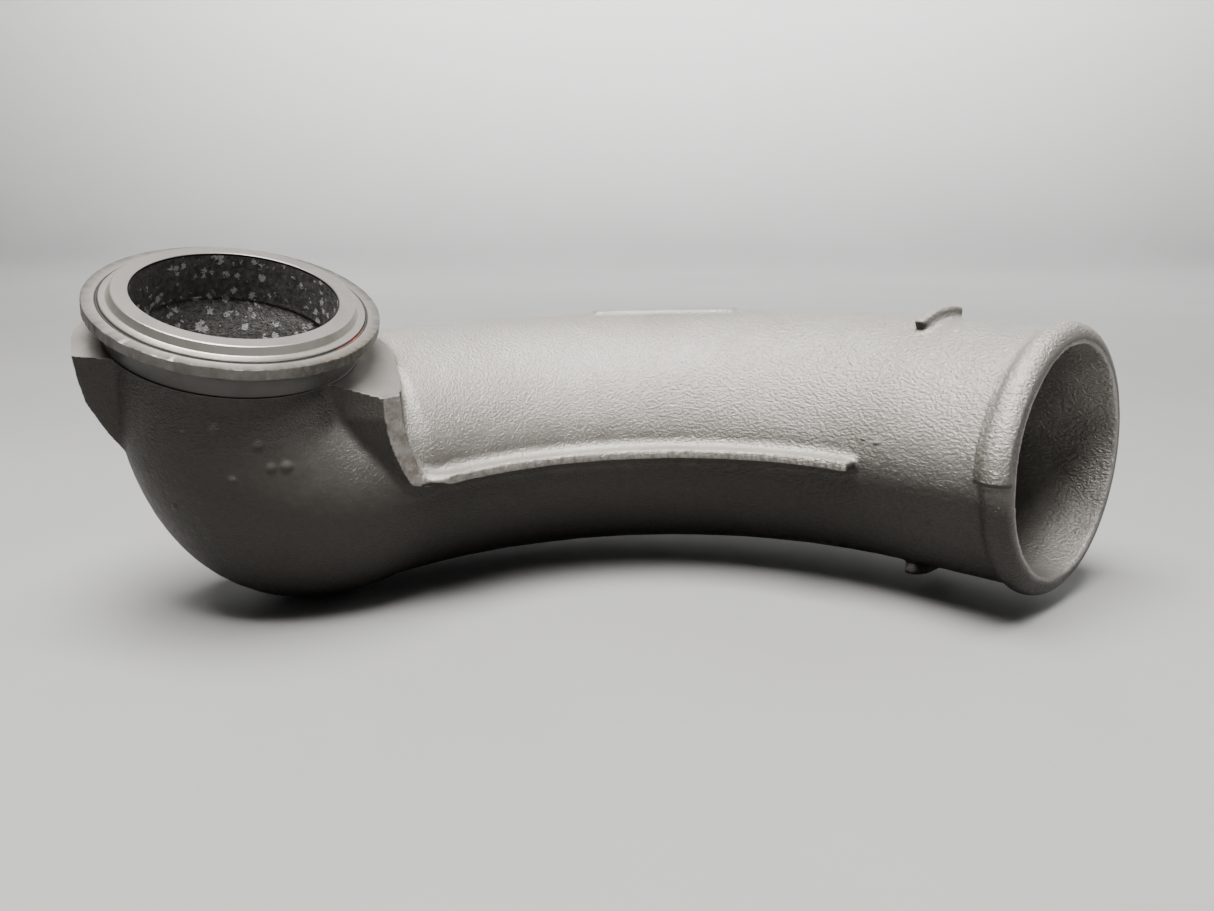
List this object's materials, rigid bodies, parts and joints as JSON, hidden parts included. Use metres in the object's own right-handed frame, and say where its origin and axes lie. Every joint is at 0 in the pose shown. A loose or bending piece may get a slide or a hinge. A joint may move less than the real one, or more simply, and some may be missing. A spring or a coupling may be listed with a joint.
{
  "type": "flue elbow",
  "caption": "Cast metal pipe elbow: a clamp flange on a tight bend, then a long ninety degree sweep to a beaded hose end.",
  "frame": {"origin": "centre of the hose end's face, on the axis of the hose end", "axes": "+X out of the hose end along its axis, +Z square to the plane of the sweep and towards the flange side, so the sweep's centre is on the -Y side"},
  "size_m": [0.2762, 0.3273, 0.143],
  "materials": {
    "cast_metal": "bead-blasted casting",
    "machined_metal": "turned, satin",
    "seal": "matt"
  },
  "bodies": {
    "root": {"clamp_flange": "machined_metal", "flange_band": "machined_metal", "seal_ring": "seal", "neck_bend": "cast_metal", "sweep_rear": "cast_metal", "sweep_front": "cast_metal", "hose_spigot": "cast_metal", "hose_bead": "cast_metal", "upper_hose_stop": "cast_metal", "lower_hose_stop": "cast_metal", "side_rib": "cast_metal", "throat_web": "cast_metal", "heel_wing": "cast_metal", "label_pad": "cast_metal"}
  },
  "joints": []
}
